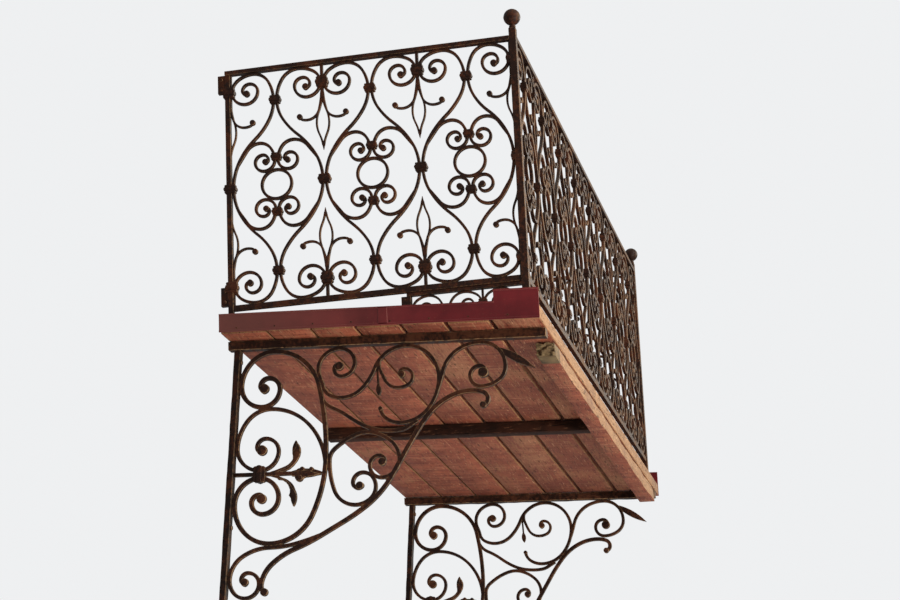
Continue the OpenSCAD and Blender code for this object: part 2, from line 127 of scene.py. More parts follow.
world = bpy.data.worlds.new("sky")
bpy.context.scene.world = world
world.use_nodes = True
sky = world.node_tree
sky.nodes.clear()
lit = sky.nodes.new("ShaderNodeBackground")
lit.inputs["Color"].default_value = SKY_LIGHT
lit.inputs["Strength"].default_value = SKY_LIGHT_STRENGTH
seen = sky.nodes.new("ShaderNodeBackground")
seen.inputs["Color"].default_value = SKY_LOOK
seen.inputs["Strength"].default_value = SKY_LOOK_STRENGTH
ray = sky.nodes.new("ShaderNodeLightPath")
looked_at = ray.outputs["Is Camera Ray"]
for kind in ("Is Glossy Ray", "Is Transmission Ray"):
    either = sky.nodes.new("ShaderNodeMath")
    either.operation = "MAXIMUM"
    sky.links.new(looked_at, either.inputs[0])
    sky.links.new(ray.outputs[kind], either.inputs[1])
    looked_at = either.outputs[0]
both = sky.nodes.new("ShaderNodeMixShader")
out = sky.nodes.new("ShaderNodeOutputWorld")
sky.links.new(looked_at, both.inputs[0])
sky.links.new(lit.outputs[0], both.inputs[1])
sky.links.new(seen.outputs[0], both.inputs[2])
sky.links.new(both.outputs[0], out.inputs["Surface"])

bpy.ops.object.select_all(action="DESELECT")
bpy.ops.mesh.primitive_plane_add(size=FLOOR_SIZE, location=(0, 0, -FLOOR_DROP))
floor = bpy.context.active_object
floor.name = "floor"
print("the floor lies", FLOOR_DROP, "m under the deck")

# %% [markdown]
# ## Writing materials as sums
# A pattern is a sum of noises. One small class wraps a node's output, so `1 - mask` or
# `noise * 0.4 + streak` adds the Math nodes that it stands for. A second class is the material,
# and its `add` makes any other node, from its type, its settings and its inputs.

# %% The classes for shader sums
class Wire:
    """An output of a node, which can be added, multiplied and so on."""

    def __init__(self, finish, socket):
        self.finish = finish
        self.socket = socket

    def sum(self, operation, first, second):
        settings = {"operation": operation}
        return self.finish.add("ShaderNodeMath", settings, {0: first, 1: second})

    def __add__(self, other):
        return self.sum("ADD", self, other)

    __radd__ = __add__

    def __sub__(self, other):
        return self.sum("SUBTRACT", self, other)

    def __rsub__(self, other):
        return self.sum("SUBTRACT", other, self)

    def __mul__(self, other):
        return self.sum("MULTIPLY", self, other)

    __rmul__ = __mul__

    def part(self, letter):
        """One of the three numbers of a place or a direction."""
        split = self.finish.add("ShaderNodeSeparateXYZ", {}, {0: self}, node_only=True)
        return Wire(self.finish, split.outputs[letter])


# the sockets of a Mix node that belong to its colour mode
MIX_FACTOR, MIX_A, MIX_B, MIX_RESULT = 0, 6, 7, 2


class Finish:
    """A material that is built up node by node."""

    def __init__(self, name):
        self.material = bpy.data.materials.new(name)
        self.material.use_nodes = True
        self.tree = self.material.node_tree
        self.surface = self.tree.nodes["Principled BSDF"]

    def add(self, kind, settings, inputs, output=0, node_only=False):
        node = self.tree.nodes.new(kind)
        for key, value in settings.items():
            setattr(node, key, value)
        for key, value in inputs.items():
            self.feed(node.inputs[key], value)
        return node if node_only else Wire(self, node.outputs[output])

    def feed(self, socket, value):
        if isinstance(value, Wire):
            self.tree.links.new(value.socket, socket)
        else:
            socket.default_value = value

    def place(self, stretch=(1, 1, 1)):
        """The place on the object, which a pattern reads, finer where the stretch is more."""
        coordinate = self.add("ShaderNodeTexCoord", {}, {}, "Object")
        return self.add("ShaderNodeMapping", {}, {"Vector": coordinate, "Scale": stretch})

    def noise(self, place, scale, detail=3, rough=0.55):
        inputs = {"Vector": place, "Scale": scale, "Detail": detail, "Roughness": rough}
        return self.add("ShaderNodeTexNoise", {}, inputs, "Fac")

    def between(self, value, low, high):
        """0 below low, 1 above high, and a soft step between."""
        inputs = {"Value": value, "From Min": low, "From Max": high}
        return self.add("ShaderNodeMapRange", {"interpolation_type": "SMOOTHSTEP"}, inputs)

    def blend(self, share, first, second):
        """The first colour where the share is 0, and the second where it is 1."""
        inputs = {MIX_FACTOR: share, MIX_A: first, MIX_B: second}
        return self.add("ShaderNodeMix", {"data_type": "RGBA"}, inputs, MIX_RESULT)

    def bump(self, height, depth, strength=1.0):
        inputs = {"Height": height, "Distance": depth, "Strength": strength}
        return self.add("ShaderNodeBump", {}, inputs, "Normal")

    def set(self, **values):
        """Sets the surface's own sockets and gives back the finished material."""
        for key, value in values.items():
            self.feed(self.surface.inputs[key.replace("_", " ")], value)
        return self.material


def linear(part):
    """A part of a written colour as an amount of light, by the sRGB rule."""
    return part / 12.92 if part < 0.04045 else ((part + 0.055) / 1.055) ** 2.4


def colour(code):
    """A colour written as in a paint shop, such as #33261f, in linear light."""
    return (*[linear(int(code[i:i + 2], 16) / 255) for i in (1, 3, 5)], 1)


print("a mid red is", [round(v, 3) for v in colour("#b03020")])

# %% [markdown]
# ## Old wrought iron
# The bars were painted dark once. Now the paint is worn to a brown-black skin with rust under
# it, dust on what faces the sky and rubbed metal on the edges. The outward side is paler, partly
# where sun and rain have had the paint and partly as a painted highlight. Three noises of
# different sizes make the blotches, the freckles and the hammered, pitted skin. The same recipe
# serves the railing, the dustier brackets, their flat bars at the back, whose darker skins are
# painted shade beside the wall, and all the rubbed edges, which only ask for other shares. Old
# paint shines little, so the surface's mirror share is turned down.

# %% Iron
SKINS = ("#120907", "#291811")
# the wall bars' darker skins are painted shade, for the shade beside the wall
WALL_SHADE_SKINS = ("#0c0605", "#1a0e0a")


def iron_finish(name, rubbed, dusty, skins=SKINS, rusted=0.6, pale=0.24):
    """Rubbed, dusty and rusted are shares of wear over the two skin tones; pale is the share of
    the paler outward side: sun-bleached paint and painted highlight.
    """
    finish = Finish(name)
    place = finish.place()
    blotch = finish.noise(place, 9, 4)
    freckle = finish.noise(place, 75, 4, 0.65)
    grit = finish.noise(place, 420, 2)
    normal = finish.add("ShaderNodeTexCoord", {}, {}, "Normal")
    facing = normal.part("Z")
    # painted highlight: the side facing out (-y) turns paler, partly as sun-bleached paint
    bleached_and_sunlit = finish.between(freckle * 0.9 + blotch * 0.7 - normal.part("Y"), 1.4, 2.0)
    rust = finish.between(blotch * 0.6 + freckle * 0.5, 0.5, 0.68)
    dust = finish.between(facing * 0.45 + freckle * 0.35 + blotch * 0.3, 0.28, 0.8)
    skin = finish.blend(freckle, *[colour(code) for code in skins])
    rusty = finish.blend(grit, colour("#391b10"), colour("#5e321d"))
    tone = finish.blend(rust * rusted, skin, rusty)
    tone = finish.blend(dust * dusty, tone, colour("#5a4b3a"))
    tone = finish.blend(bleached_and_sunlit * pale, tone, colour("#8c7b5f"))
    if rubbed:
        bare = finish.between(freckle * 0.7 + blotch * 0.3, 0.36, 0.6)
        tone = finish.blend(bare * rubbed, tone, colour("#a08260"))
    hammered = finish.noise(place, 55, 2) * 0.5 + freckle * 0.3 + grit * 0.12
    return finish.set(
        Base_Color=tone,
        Metallic=0.15,
        Specular_IOR_Level=0.09,
        Roughness=0.42 + 0.3 * rust + 0.12 * grit,
        Normal=finish.bump(hammered, 0.0016, 0.55),
    )


IRON = {
    "railing": (
        iron_finish("railing_iron", 0, 0.2),
        iron_finish("railing_edges", 0.35, 0.2),
    ),
    "bracket": (
        iron_finish("bracket_iron", 0, 0.6),
        iron_finish("bracket_edges", 0.6, 0.6),
    ),
    # painted shade: the wall bars take the darker skins and less of the paler outward side
    "wall_bar": (
        iron_finish("wall_bar_iron", 0, 0.1, WALL_SHADE_SKINS, 0.4, 0.1),
        iron_finish("wall_bar_edges", 0.2, 0.1, WALL_SHADE_SKINS, 0.4, 0.1),
    ),
}
print("iron finishes:", [finish.name for pair in IRON.values() for finish in pair])

# %% [markdown]
# ## Softening the forged bars
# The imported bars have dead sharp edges, which no hammered bar has, and a sharp edge catches no
# light. Each iron node is copied, its loose triangles are merged into whole faces, and a Bevel
# modifier rounds the edges by a millimetre. A bevel runs wild where two bars part in a narrow
# notch or where an edge is shorter than the bevel is wide, so those edges get no bevel weight.
# The new faces get the rubbed finish. Where the parts of a bracket cross, their faces would lie
# flush and flicker, so each part is a hair less deep than the one before.

# %% Helpers for any piece
def only(thing):
    bpy.ops.object.select_all(action="DESELECT")
    thing.select_set(True)
    bpy.context.view_layer.objects.active = thing


def apply_all(thing):
    only(thing)
    for modifier in list(thing.modifiers):
        bpy.ops.object.modifier_apply(modifier=modifier.name)


def smooth(thing, degrees=30):
    only(thing)
    bpy.ops.object.shade_smooth_by_angle(angle=math.radians(degrees))


def corners(points):
    """The lowest and the highest corner of the box round some points."""
    return [Vector([pick(p[axis] for p in points) for axis in range(3)]) for pick in (min, max)]


def paint(piece, *finishes):
    for finish in finishes:
        piece.data.materials.append(finish)


def settle(piece, slot, *nodes):
    """Says what a finished piece rides on and which nodes it replaces. The slot is not used."""
    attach(piece, "root")
    if nodes:
        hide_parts(*nodes)


# %% Whole faces and the edges that can take a bevel
MERGE = 0.0006
FLAT = math.radians(1)
SHARP = math.radians(40)
NOTCH = math.radians(50)
CROWDED = 4
SHORT = 1.5


def awkward(corner, sharp, edge):
    """A corner beside a very short edge, in a narrow notch, or where many edges meet."""
    if any(side.calc_length() < SHORT * edge for side in corner.link_edges):
        return True
    ends = [side.other_vert(corner) for side in corner.link_edges if side in sharp]
    ways = [(end.co - corner.co).normalized() for end in ends]
    if len(ways) > CROWDED:
        return True
    return any(ways[i].angle(ways[k]) < NOTCH for i in range(len(ways)) for k in range(i))


def weigh_edges(work, edge):
    """Gives the sharp edges that can take a bevel their weight."""
    layer = work.edges.layers.float.new("bevel_weight_edge")
    sharp = {side for side in work.edges if side.is_manifold and side.calc_face_angle(0) > SHARP}
    spoilt = {corner for corner in work.verts if awkward(corner, sharp, edge)}
    for side in sharp:
        side[layer] = 0.0 if spoilt.intersection(side.verts) else 1.0


def copy_of(node, name, edge=0.0):
    """A node's copy with whole faces, whose edges may be weighed for a bevel."""
    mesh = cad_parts[node].data.copy()
    mesh.name = name
    piece = bpy.data.objects.new(name, mesh)
    bpy.context.scene.collection.objects.link(piece)
    mesh.materials.clear()
    work = bmesh.new()
    work.from_mesh(mesh)
    bmesh.ops.remove_doubles(work, verts=work.verts, dist=MERGE)
    bmesh.ops.dissolve_degenerate(work, dist=MERGE, edges=work.edges)
    bmesh.ops.dissolve_limit(
        work, angle_limit=FLAT, verts=work.verts, edges=work.edges, delimit=set()
    )
    if edge:
        weigh_edges(work, edge)
    work.to_mesh(mesh)
    work.free()
    return piece


print("a corner of more than", CROWDED, "sharp edges stays as it is")

# %% Rounded copies of the iron nodes
EDGE_ROUND = 0.001
# share of its depth that each part of a bracket keeps
LAYERS = {"wall_scrolls": 1.0, "brace": 0.97, "top_scrolls": 0.94, "middle_scrolls": 0.91}
SIDES = {"left": -1, "right": 1}


def flattened(piece, share):
    """Makes a bracket's part a little less deep about its own middle."""
    low, high = corners([vertex.co for vertex in piece.data.vertices])
    middle = (low.x + high.x) / 2
    for vertex in piece.data.vertices:
        vertex.co.x = middle + share * (vertex.co.x - middle)


def forged(node, kind, share=1.0):
    piece = copy_of(node, node + "_forged", EDGE_ROUND)
    flattened(piece, share)
    paint(piece, *IRON[kind])
    bevel = piece.modifiers.new("rounded", "BEVEL")
    bevel.width = EDGE_ROUND
    bevel.segments = 1
    bevel.limit_method = "WEIGHT"
    bevel.use_clamp_overlap = False
    bevel.material = 1
    apply_all(piece)
    smooth(piece)
    settle(piece, "wrought_iron", node)
    print(piece.name, len(piece.data.polygons), "faces")


for kind in ("scroll_panel", "top_rail", "bottom_rail"):
    for place in ("left", "front", "right"):
        forged(f"{kind}_{place}", "railing")
for kind in ("wall", "corner"):
    for side in SIDES:
        forged(f"{kind}_post_{side}", "railing")
for part, share in LAYERS.items():
    for side in SIDES:
        forged(f"bracket_{part}_{side}", "bracket", share)

# %% [markdown]
# ## Tools for blocks
# Boards, beams and flat bars all start as a block between two corners. A block is cut across
# many times, so that it can bow or be worn down unevenly, and then its edges are rounded. The
# faces that the Bevel makes can take a second finish, for paint or skin that has rubbed off.

# %% Blocks
chance = random.Random(7)
BEVEL_FROM = math.radians(35)


def block(name, low, high):
    """A block between two corners, whose place is in its mesh."""
    bpy.ops.object.select_all(action="DESELECT")
    size = [b - a for a, b in zip(low, high)]
    middle = [(a + b) / 2 for a, b in zip(low, high)]
    bpy.ops.mesh.primitive_cube_add(size=1, location=middle, scale=size)
    thing = bpy.context.active_object
    thing.name = name
    bpy.ops.object.transform_apply(location=True, rotation=True, scale=True)
    return thing


def evenly(low, high, parts):
    """The places that cut a length into equal parts."""
    return [low + (high - low) * k / parts for k in range(1, parts)]


def crosscut(thing, places, axis=0):
    """Cuts a block across at each place, so that it can bow."""
    only(thing)
    bpy.ops.object.mode_set(mode="EDIT")
    for place in places:
        bpy.ops.mesh.select_all(action="SELECT")
        point = [0, 0, 0]
        normal = [0, 0, 0]
        point[axis] = place
        normal[axis] = 1
        bpy.ops.mesh.bisect(plane_co=point, plane_no=normal)
    bpy.ops.object.mode_set(mode="OBJECT")


def worn_down(thing, axis, share):
    """Moves the corners of each cut inwards by an uneven share of their distance."""
    rings = {}
    for vertex in thing.data.vertices:
        rings.setdefault(round(vertex.co[axis], 4), []).append(vertex)
    for ring in rings.values():
        middle = sum((vertex.co for vertex in ring), Vector()) / len(ring)
        for vertex in ring:
            for other in range(3):
                if other != axis:
                    inwards = middle[other] - vertex.co[other]
                    vertex.co[other] += inwards * chance.uniform(0, share)


def rounded(thing, width, segments=2, edge_slot=-1):
    """Rounds the sharp edges, whose new faces may take another finish."""
    bevel = thing.modifiers.new("rounded", "BEVEL")
    bevel.width = width
    bevel.segments = segments
    bevel.limit_method = "ANGLE"
    bevel.angle_limit = BEVEL_FROM
    bevel.material = edge_slot
    apply_all(thing)
    smooth(thing)


def joined(name, things):
    bpy.ops.object.select_all(action="DESELECT")
    for thing in things:
        thing.select_set(True)
    bpy.context.view_layer.objects.active = things[0]
    bpy.ops.object.join()
    things[0].name = name
    return things[0]


def points_of(node):
    return [vertex.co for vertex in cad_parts[node].data.vertices]


print("tools for blocks are ready")

# %% [markdown]
# ## The flat bars of the brackets
# The bars at the back and under the deck are the thickest and the roughest: rust has lifted
# their skin, and no edge is straight. Each is copied from its node, cut across and worn down
# by a millimetre or two.

# %% Flat bars
BAR_PARTS, BAR_WEAR = 34, 0.12
for side in SIDES:
    for part, axis, kind in (("top_bar", 1, "bracket"), ("wall_bar", 2, "wall_bar")):
        node = f"bracket_{part}_{side}"
        bar = copy_of(node, node + "_hammered")
        low, high = corners(points_of(node))
        crosscut(bar, evenly(low[axis], high[axis], BAR_PARTS), axis)
        worn_down(bar, axis, BAR_WEAR)
        paint(bar, *IRON[kind])
        rounded(bar, 0.0016, 1, 1)
        settle(bar, "wrought_iron", node)
        print(bar.name, len(bar.data.polygons), "faces")

# %% [markdown]
# ## Fittings that repeat
# Collars, rolled scroll ends and rivets repeat hundreds of times, so each is modelled once. A
# collar is three hammered bands, and each band has a ridge: a block is cut through the middle
# and the cut is grown. A scroll's end is a short thick roll with a domed face, which also
# serves as a bolt or nail head when it is made smaller.

# %% One collar and one rolled end
COLLAR_SIZE = Vector((0.050, 0.044, 0.029))
# where each band starts and ends, its share of the collar's size and how much its ridge swells
BANDS = ((-0.5, -0.2, 0.80, 1.12), (-0.22, 0.22, 0.94, 1.10), (0.2, 0.5, 0.80, 1.12))
ROLL_RADIUS, ROLL_DEPTH, ROLL_SIDES = 0.0125, 0.016, 20
# how far in, as a share of the radius, and how far out each step of a roll's domed face goes
DOME = ((0.22, 0.0007), (0.3, 0.0004))


def ridged(low, high, swell):
    """A block between two corners with a ridge round its middle."""
    band = block("band", low, high)
    middle = [(a + b) / 2 for a, b in zip(low, high)]
    bpy.ops.object.mode_set(mode="EDIT")
    bpy.ops.mesh.select_all(action="SELECT")
    bpy.ops.mesh.bisect(plane_co=middle, plane_no=(0, 1, 0))
    bpy.ops.transform.resize(value=(swell, 1, swell), center_override=middle)
    bpy.ops.object.mode_set(mode="OBJECT")
    rounded(band, 0.0012, 1, 1)
    return band


def model_collar(kind):
    bands = []
    for start, end, share, swell in BANDS:
        half = COLLAR_SIZE * share / 2
        low = (-half.x, start * COLLAR_SIZE.y, -half.z)
        high = (half.x, end * COLLAR_SIZE.y, half.z)
        bands.append(ridged(low, high, swell))
    for band in bands:
        paint(band, *IRON[kind])
    return joined(f"collar_{kind}", bands)


def edit_faces(thing, wanted):
    """Goes into edit mode with only the wanted faces selected."""
    only(thing)
    bpy.ops.object.mode_set(mode="EDIT")
    bpy.ops.mesh.select_mode(type="FACE")
    bpy.ops.mesh.select_all(action="DESELECT")
    work = bmesh.from_edit_mesh(thing.data)
    for face in work.faces:
        face.select_set(wanted(face))
    bmesh.update_edit_mesh(thing.data)
    return work


def model_roll(kind):
    bpy.ops.object.select_all(action="DESELECT")
    bpy.ops.mesh.primitive_cylinder_add(
        vertices=ROLL_SIDES, radius=ROLL_RADIUS, depth=ROLL_DEPTH
    )
    roll = bpy.context.active_object
    roll.name = f"roll_{kind}"
    edit_faces(roll, lambda face: abs(face.normal.z) > 0.9)
    for share, rise in DOME:
        bpy.ops.mesh.inset(thickness=share * ROLL_RADIUS, depth=rise, use_individual=True)
    bpy.ops.object.mode_set(mode="OBJECT")
    paint(roll, *IRON[kind])
    rounded(roll, 0.0014, 2, 1)
    return roll


collars = {kind: model_collar(kind) for kind in ("railing", "bracket")}
rolls = {kind: model_roll(kind) for kind in ("railing", "bracket")}
for models in (collars, rolls):
    print(models["railing"].name, "has", len(models["railing"].data.polygons), "faces")

# %% [markdown]
# ## Setting copies in a drawing
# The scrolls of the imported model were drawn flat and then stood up, so their fittings are set
# in the same drawings. One matrix stands the drawing in the room, and others turn the copy and
# give it its size. Every copy gets its own mesh, since all of them are joined into one piece.

# %% Copies set in a drawing
X_WAY, UP = Vector((1, 0, 0)), Vector((0, 0, 1))
OUT = Vector((0, -1, 0))


def drawing(origin, x_way, y_way):
    """The matrix that stands a drawing in the room."""
    turn = Matrix((x_way, y_way, x_way.cross(y_way))).transposed().to_4x4()
    return Matrix.Translation(origin) @ turn


def copied(model, matrix):
    twin = bpy.data.objects.new(model.name, model.data.copy())
    twin.data.transform(matrix)
    bpy.context.scene.collection.objects.link(twin)
    return twin


def scaled(size, model_size):
    """The matrix that makes a model of one size another size."""
    return Matrix.Diagonal([a / b for a, b in zip(size, model_size)] + [1])


def collar_at(stand, kind, x, y, size, turn=0.0):
    place = Matrix.Translation((x, y, 0))
    spin = Matrix.Rotation(math.radians(turn), 4, "Z")
    return copied(collars[kind], stand @ place @ spin @ scaled(size, COLLAR_SIZE))


def roll_at(stand, kind, place, radius, depth, turn=0.0):
    """A roll whose axis stands across the drawing, or lies along its x if turned by 90."""
    spin = Matrix.Rotation(math.radians(turn), 4, "Y")
    size = scaled((radius, radius, depth), (ROLL_RADIUS, ROLL_RADIUS, ROLL_DEPTH))
    return copied(rolls[kind], stand @ Matrix.Translation(place) @ spin @ size)


print("a drawing's x runs along", tuple(X_WAY), "or", tuple(OUT), "and its y", tuple(UP))

# %% [markdown]
# ## Fittings of the railing
# Each cell has collars where its hearts and its ring scrolls meet, and each line between two
# cells has a waist collar and one at either fleur. At a wall post the collar goes right round
# the post. The scrolls, the inner scrolls and the fleurs' hooks end in rolls. One lug holds
# each wall post above and below, with two rivets in it.

# %% Measures of the railing's fittings
CELL = 0.383
POST_X = 1.532
WALL_POST_OUT = 0.039
FRONT_OUT = 1.188
WALL_HALF, CORNER_HALF, LINE_BAR_HALF = 0.010, 0.014, 0.00425
WALL_COLLAR_SHIFT, CORNER_COLLAR_REACH = 0.004, 0.0165
HEART_COLLAR, RING_COLLAR = Vector((0.046, 0.034, 0.028)), Vector((0.042, 0.031, 0.027))
WAIST_COLLAR = Vector((0.050, 0.036, 0.029))
FLEUR_HIGH, HEART_HIGH, RING_HIGH, LUG_HIGH = 0.402, 0.352, 0.113, 0.4385
# how far from the line or the axis each roll lies, how high, its radius and its depth
SCROLL_IN, SCROLL_HIGH, SCROLL_ROLL = 0.0665, 0.3905, (0.0130, 0.0158)
INNER_OUT, INNER_HIGH, INNER_ROLL = 0.0445, 0.0965, (0.0120, 0.0158)
HOOK_IN, HOOK_HIGH, HOOK_ROLL = 0.093, 0.266, (0.0112, 0.0150)
LUG_SHARE, RIVET_OFF, RIVET_ROLL = 0.62, 0.021, (0.0065, 0.0225)

panel_low, panel_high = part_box("scroll_panel_left")
rail_mid = (panel_low[2] + panel_high[2]) / 2
print("the middle of the railing is", round(rail_mid, 3), "m high")


# %% Railing fittings
def cell_fittings(stand, axis, start_half, end_half):
    """The collars and rolls of a cell: each half is a post's half width, or 0 at a line."""
    parts = []
    for up in (-1, 1):
        parts.append(collar_at(stand, "railing", axis, up * HEART_HIGH, HEART_COLLAR))
        parts.append(collar_at(stand, "railing", axis, up * RING_HIGH, RING_COLLAR))
        for way, half in ((-1, start_half), (1, end_half)):
            hook_in = HOOK_IN + (half - LINE_BAR_HALF if half else 0)
            ends = (
                (CELL / 2 - half - SCROLL_IN, SCROLL_HIGH, SCROLL_ROLL),
                (INNER_OUT, INNER_HIGH, INNER_ROLL),
                (CELL / 2 - hook_in, HOOK_HIGH, HOOK_ROLL),
            )
            for x, y, size in ends:
                place = (axis + way * x, up * y, 0)
                parts.append(roll_at(stand, "railing", place, *size))
    return parts


def line_fittings(stand, x, half, inward):
    """Collars on a line between cells, or on a post: inward says where the panel lies."""
    shift, grow = 0, 0
    if half == WALL_HALF:
        shift = inward * WALL_COLLAR_SHIFT
    if half == CORNER_HALF:
        reach = half + CORNER_COLLAR_REACH
        shift, grow = inward * reach / 2, reach - COLLAR_SIZE.x
    wider = Vector((grow, 0, 0))
    parts = []
    for y, size in ((FLEUR_HIGH, COLLAR_SIZE), (0, WAIST_COLLAR), (-FLEUR_HIGH, COLLAR_SIZE)):
        parts.append(collar_at(stand, "railing", x + shift, y, size + wider))
    return parts


def railing_fittings(name, stand, cells, start_half, end_half):
    parts = []
    for k in range(cells):
        first = start_half if k == 0 else 0
        last = end_half if k == cells - 1 else 0
        parts += cell_fittings(stand, (k + 0.5) * CELL, first, last)
        parts += line_fittings(stand, k * CELL, first, 1)
    parts += line_fittings(stand, cells * CELL, end_half, -1)
    if start_half == WALL_HALF:
        for up in (-1, 1):
            for off in (-RIVET_OFF, RIVET_OFF):
                place = (-WALL_POST_OUT * LUG_SHARE, up * LUG_HIGH + off, 0)
                parts.append(roll_at(stand, "railing", place, *RIVET_ROLL))
    piece = joined(name, parts)
    settle(piece, "wrought_iron")
    print(name, len(piece.data.polygons), "faces")


for side, sign in SIDES.items():
    stand = drawing((sign * POST_X, -WALL_POST_OUT, rail_mid), OUT, UP)
    railing_fittings(f"railing_fittings_{side}", stand, 3, WALL_HALF, CORNER_HALF)
stand = drawing((-POST_X, -FRONT_OUT, rail_mid), X_WAY, UP)
railing_fittings("railing_fittings_front", stand, 8, CORNER_HALF, CORNER_HALF)

# %% [markdown]
# ## Fittings of the brackets
# A bracket's drawing hangs from the deck's underside and falls with it. Its scrolls end in
# rolls as thick as a thumb, a collar binds the two great scrolls to the flower's stem, and the
# flower is a forged plate with three buds between two curled petals. Bolts go through the flat
# bar at the back.

# %% Measures of the brackets' fittings
BRACKET_X = 1.44
HANG_OUT = 0.024
FALL = 74 / 1240
BAR_LOW = -0.011
WALL_BAR_THICK, WALL_BAR_BACK, WALL_BAR_HIGH = 25, 20, 1010
# x, y and radius of each roll in millimetres of the bracket's drawing
ROLLS = (
    (122.3, -153.5, 19), (127.7, -582.7, 19), (122.2, -395.3, 20), (74, -899.2, 15),
    (152, -938, 15), (978, -250, 13), (416, -76.8, 17), (661, -118.2, 14),
    (976, -124.5, 20), (594, -454.2, 15), (509.2, -543, 15), (582, -250, 9),
)
BUDS = ((276, -506, 10), (320, -474, 8), (284, -473, 9))
MM = 0.001
SCROLL_DEPTH, BUD_DEPTH = 0.0178, 0.020
STEM_COLLAR_PLACE, STEM_COLLAR = (0.116, -0.488), (0.066, 0.047, 0.034)
# outlines of the flower's petals and body, as forged plates, in the same drawing
UPPER_PETAL = (
    (198, -482), (213, -480), (234, -471), (250, -457), (263, -440), (272, -422), (275, -407),
    (274, -392), (267, -377), (259, -367), (256, -380), (254, -393), (245, -402), (242, -409),
    (245, -421), (245, -432), (241, -447), (228, -461), (213, -469), (198, -473),
)
LOWER_PETAL = (
    (188, -505), (207, -504), (222, -512), (238, -527), (250, -544), (260, -559), (266, -576),
    (265, -593), (258, -609), (253, -616), (249, -604), (247, -592), (239, -579), (234, -573),
    (238, -564), (238, -551), (231, -534), (222, -523), (207, -513), (189, -511),
)
FLOWER = (
    (242, -486), (257, -480), (270, -478), (285, -478), (302, -478), (307, -472), (315, -471),
    (319, -476), (321, -483), (339, -489), (362, -496), (337, -499), (320, -502), (301, -504),
    (290, -508), (283, -518), (274, -522), (263, -518), (257, -508), (255, -500), (242, -499),
)
PLATES = ((UPPER_PETAL, 0.0135), (LOWER_PETAL, 0.0131), (FLOWER, 0.0165))
BOLTS, BOLT_RADIUS, BOLT_SUNK = (-45, -690, -985), 0.0095, 3

down = math.atan(FALL)
down_out = Vector((0, -math.cos(down), -math.sin(down)))
down_up = Vector((0, -math.sin(down), math.cos(down)))
print("the brackets' drawing is turned by", round(math.degrees(down), 2), "degrees")


# %% Bracket fittings
def plate(outline, depth):
    """A flat forging: a disc whose corners are moved to the outline, drawn up and rounded."""
    bpy.ops.object.select_all(action="DESELECT")
    bpy.ops.mesh.primitive_circle_add(
        vertices=len(outline), fill_type="NGON", location=(0, 0, 0)
    )
    thing = bpy.context.active_object
    for vertex, (x, y) in zip(thing.data.vertices, outline):
        vertex.co = (x * MM, y * MM, -depth / 2)
    bpy.ops.object.mode_set(mode="EDIT")
    bpy.ops.mesh.select_all(action="SELECT")
    bpy.ops.mesh.extrude_region_move(TRANSFORM_OT_translate={"value": (0, 0, depth)})
    bpy.ops.mesh.select_all(action="SELECT")
    bpy.ops.mesh.normals_make_consistent(inside=False)
    bpy.ops.object.mode_set(mode="OBJECT")
    paint(thing, *IRON["bracket"])
    rounded(thing, 0.0022, 2, 1)
    return thing


def bracket_fittings(side, sign):
    hangs_from = (sign * BRACKET_X, -HANG_OUT, BAR_LOW - FALL * HANG_OUT)
    stand = drawing(hangs_from, down_out, down_up)
    parts = [collar_at(stand, "bracket", *STEM_COLLAR_PLACE, STEM_COLLAR, 90)]
    for ends, depth in ((ROLLS, SCROLL_DEPTH), (BUDS, BUD_DEPTH)):
        for x, y, radius in ends:
            parts.append(roll_at(stand, "bracket", (x * MM, y * MM, 0), radius * MM, depth))
    parts += [copied(thing, stand) for thing in plates]
    for y in BOLTS:
        x = WALL_BAR_THICK + WALL_BAR_BACK * y / WALL_BAR_HIGH - BOLT_SUNK
        place = (x * MM, y * MM, 0)
        parts.append(roll_at(stand, "bracket", place, BOLT_RADIUS, ROLL_DEPTH, 90))
    piece = joined(f"bracket_fittings_{side}", parts)
    settle(piece, "wrought_iron")
    print(piece.name, len(piece.data.polygons), "faces")


plates = [plate(outline, depth) for outline, depth in PLATES]
for side, sign in SIDES.items():
    bracket_fittings(side, sign)
for thing in plates:
    bpy.data.objects.remove(thing)

# %% [markdown]
# ## Balls on the corner posts
# A ball was turned with its neck from one piece and forged together from two halves, whose
# seam still shows. A disc is drawn up into that shape: it is extruded and resized from one
# height to the next, as on a lathe. A small tapered block makes the shoulder of the post.

# %% Balls
BALL_RADIUS, BALL_HIGH, TIP_RADIUS = 0.033, 0.048, 0.0006
BALL_DEGREES, SEAM = range(-72, 90, 6), 0.0005
# radius and height of each step of the neck
NECK = ((0.0120, 0), (0.0132, 0.008), (0.0132, 0.0105), (0.0112, 0.012), (0.0100, 0.0145))
SHOULDER_HALF, SHOULDER_LOW, SHOULDER_HIGH, TAPER = 0.0136, -0.001, 0.0075, 0.72


def turned_piece(name, place, steps, sides=40):
    """A round piece whose steps are pairs of a radius and a height."""
    radius, height = steps[0]
    bpy.ops.object.select_all(action="DESELECT")
    bpy.ops.mesh.primitive_circle_add(
        vertices=sides, radius=radius, fill_type="NGON", location=(place[0], place[1], height)
    )
    thing = bpy.context.active_object
    thing.name = name
    bpy.ops.object.transform_apply(location=True, rotation=True, scale=True)
    bpy.ops.object.mode_set(mode="EDIT")
    bpy.ops.mesh.select_all(action="SELECT")
    for next_radius, next_height in steps[1:]:
        rise = {"value": (0, 0, next_height - height)}
        bpy.ops.mesh.extrude_region_move(TRANSFORM_OT_translate=rise)
        grow = next_radius / radius
        centre = (place[0], place[1], next_height)
        bpy.ops.transform.resize(value=(grow, grow, 1), center_override=centre)
        radius, height = next_radius, next_height
    bpy.ops.mesh.select_all(action="SELECT")
    bpy.ops.mesh.normals_make_consistent(inside=False)
    bpy.ops.object.mode_set(mode="OBJECT")
    return thing


